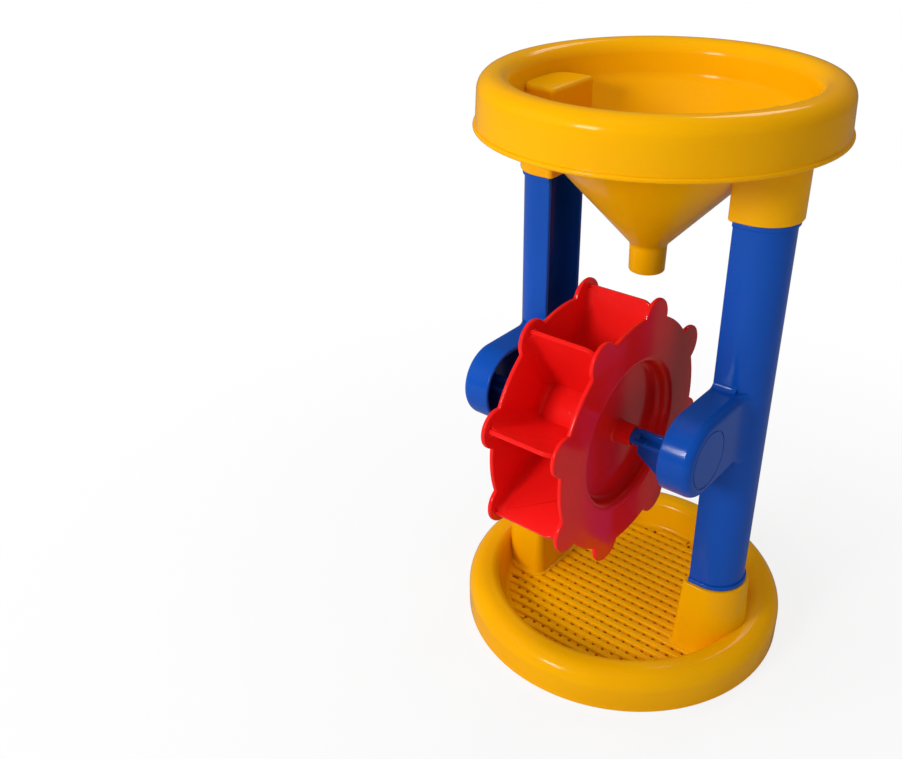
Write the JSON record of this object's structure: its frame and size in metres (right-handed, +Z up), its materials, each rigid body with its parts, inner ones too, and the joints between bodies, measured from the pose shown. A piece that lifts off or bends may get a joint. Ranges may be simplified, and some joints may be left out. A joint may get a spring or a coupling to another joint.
{
  "type": "sand wheel toy",
  "caption": "Sand wheel toy: a funnel hopper on side columns pours sand over a paddle wheel that turns on stub axles above a round sieve base.",
  "frame": {"origin": "middle of the base ring's underside, on the ground", "axes": "+Z up, X from the left column to the right one, -Y to the front, where the arms carry the wheel"},
  "size_m": [0.1754, 0.1976, 0.3029],
  "materials": {
    "yellow_plastic": "glossy moulded plastic",
    "blue_plastic": "glossy moulded plastic",
    "red_plastic": "glossy moulded plastic"
  },
  "bodies": {
    "frame": {"base": "yellow_plastic", "left_column": "blue_plastic", "right_column": "blue_plastic", "hopper": "yellow_plastic"},
    "wheel": {"wheel_drum": "red_plastic", "wheel_side_disc": "red_plastic"}
  },
  "joints": [
    {"name": "wheel_spin", "type": "hinge", "parent": "frame", "child": "wheel", "pos_m": [0, -0.0451, 0.1444], "axis": [1, 0, 0], "continuous": true}
  ]
}
